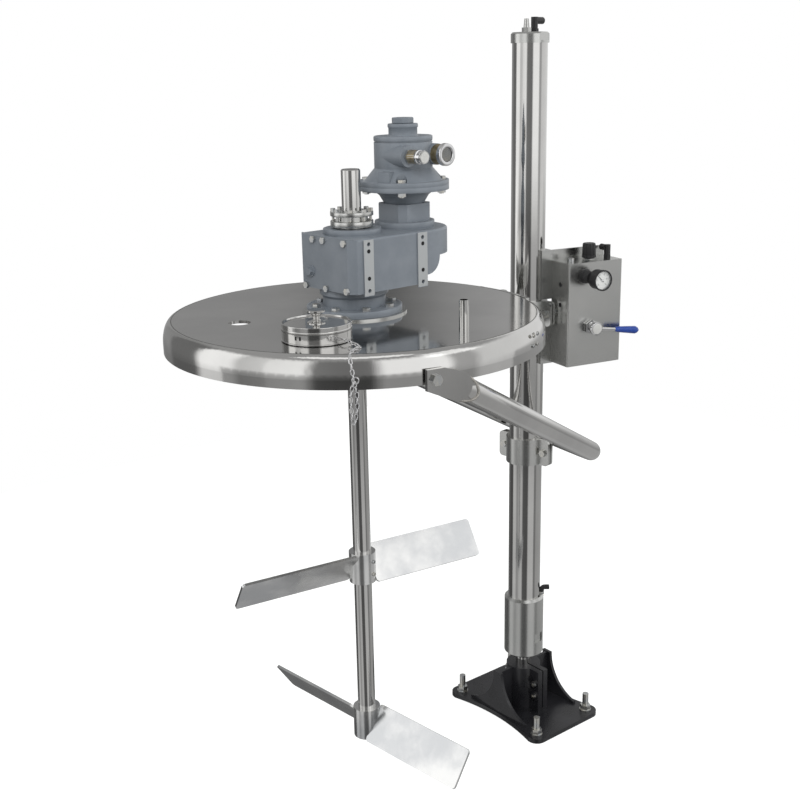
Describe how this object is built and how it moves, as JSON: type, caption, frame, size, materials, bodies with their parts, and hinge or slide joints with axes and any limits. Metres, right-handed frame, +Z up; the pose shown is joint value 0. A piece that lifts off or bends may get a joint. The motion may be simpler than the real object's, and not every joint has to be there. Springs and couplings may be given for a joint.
{
  "type": "tank agitator",
  "caption": "Vessel lid with an air-driven geared propeller shaft, carried by a lifting and swinging column on a bolted base.",
  "frame": {"origin": "on the column's axis at the underside of the base plate, centre of the four anchor studs", "axes": "+Z up along the column; X along the short side and Y along the long side of the base plate; the lid's arm points towards -X, turned 7.6 degrees"},
  "size_m": [1.1851, 0.8077, 1.869],
  "materials": {
    "polished_steel": "mirror polished stainless steel",
    "satin_steel": "satin stainless steel",
    "bolt_steel": "zinc plated",
    "grey_paint": "grey-blue enamel",
    "black_paint": "satin black",
    "black_plastic": "moulded black",
    "needle_black": "matt black",
    "blue_plastic": "blue grip",
    "rubber": "black",
    "bronze": "sintered bronze"
  },
  "bodies": {
    "stand": {"base": "black_paint", "anchor_bolts": "bolt_steel", "pinch_bolts": "bolt_steel"},
    "rod": {"lift_rod": "polished_steel", "piston": "satin_steel", "piston_seals": "rubber"},
    "agitator": {"agitator_shaft": "polished_steel", "upper_propeller": "satin_steel", "lower_propeller": "satin_steel", "hollow_shaft": "satin_steel", "output_gear": "satin_steel", "shrink_disc": "satin_steel", "shrink_screws": "bolt_steel"},
    "lay_shaft": {"lay_shaft": "satin_steel"},
    "motor_rotor": {"motor_rotor": "satin_steel"},
    "port_cover": {"port_cover": "polished_steel", "cover_knob": "polished_steel"},
    "valve_lever": {"valve_cap": "black_plastic", "lever_grip": "blue_plastic"},
    "regulator_knob": {"regulator_knob": "black_plastic"},
    "gauge_needle": {"gauge_needle": "needle_black"},
    "column": {"back_plate": "satin_steel", "barrel": "polished_steel", "bow": "polished_steel", "bow_lug_bolt": "bolt_steel", "bow_lugs": "polished_steel", "cap_screw": "bolt_steel", "clamp_bolts": "bolt_steel", "cover_screws": "bolt_steel", "flange_bolts": "bolt_steel", "gauge_body": "black_plastic", "gear_cover": "grey_paint", "gear_housing": "grey_paint", "gearbox_bearings": "satin_steel", "gearbox_pad": "satin_steel", "gland_collar": "satin_steel", "level_plug": "bolt_steel", "lid": "polished_steel", "lid_bracket": "satin_steel", "lower_clamp_far_side": "satin_steel", "lower_clamp_lid_side": "satin_steel", "motor_body": "grey_paint", "motor_bolts": "bolt_steel", "motor_cap": "grey_paint", "motor_lantern": "grey_paint", "motor_plug": "satin_steel", "mount_rail": "satin_steel", "output_flange": "grey_paint", "panel_box": "satin_steel", "panel_elbow": "black_plastic", "regulator_neck": "black_plastic", "saddle_bolts": "bolt_steel", "top_cap": "satin_steel", "top_elbow": "black_plastic", "top_nipple": "satin_steel", "upper_clamp_far_side": "satin_steel", "valve_stem": "satin_steel", "vent_pipe": "polished_steel", "air_coupler": "satin_steel", "muffler": "bronze"}
  },
  "joints": [
    {"name": "swing", "type": "hinge", "parent": "stand", "child": "rod", "pos_m": [0, 0, 0.1], "axis": [0, 0, 1], "range_deg": [-90, 90]},
    {"name": "lift", "type": "slide", "parent": "rod", "child": "column", "axis": [0, 0, 1], "range_m": [0, 1]},
    {"name": "shaft_spin", "type": "hinge", "parent": "column", "child": "agitator", "pos_m": [-0.5872, -0.07835, 1.3], "axis": [0, 0, 1], "continuous": true},
    {"name": "lay_spin", "type": "hinge", "parent": "column", "child": "lay_shaft", "pos_m": [-0.50128, -0.07445, 1.3], "axis": [0, 0, 1], "continuous": true},
    {"name": "motor_spin", "type": "hinge", "parent": "column", "child": "motor_rotor", "pos_m": [-0.44284, -0.07179, 1.4], "axis": [0, 0, 1], "continuous": true},
    {"name": "cover_lift", "type": "slide", "parent": "column", "child": "port_cover", "axis": [0, 0, 1], "range_m": [0, 0.07]},
    {"name": "valve_turn", "type": "hinge", "parent": "column", "child": "valve_lever", "pos_m": [0.0736, -0.15877, 1.065], "axis": [-0.2079, -0.9781, 0], "range_deg": [-45, 45]},
    {"name": "regulator_turn", "type": "hinge", "parent": "column", "child": "regulator_knob", "pos_m": [0.10068, -0.1083, 1.24], "axis": [0, 0, 1], "range_deg": [-540, 540]},
    {"name": "needle_turn", "type": "hinge", "parent": "column", "child": "gauge_needle", "pos_m": [0.05989, -0.1896, 1.188], "axis": [-0.2079, -0.9781, 0], "range_deg": [-180, 90]}
  ],
  "couplings": [
    {"joint": "lay_spin", "follows": "shaft_spin", "ratio": -2.0714},
    {"joint": "motor_spin", "follows": "shaft_spin", "ratio": 4.6607}
  ]
}
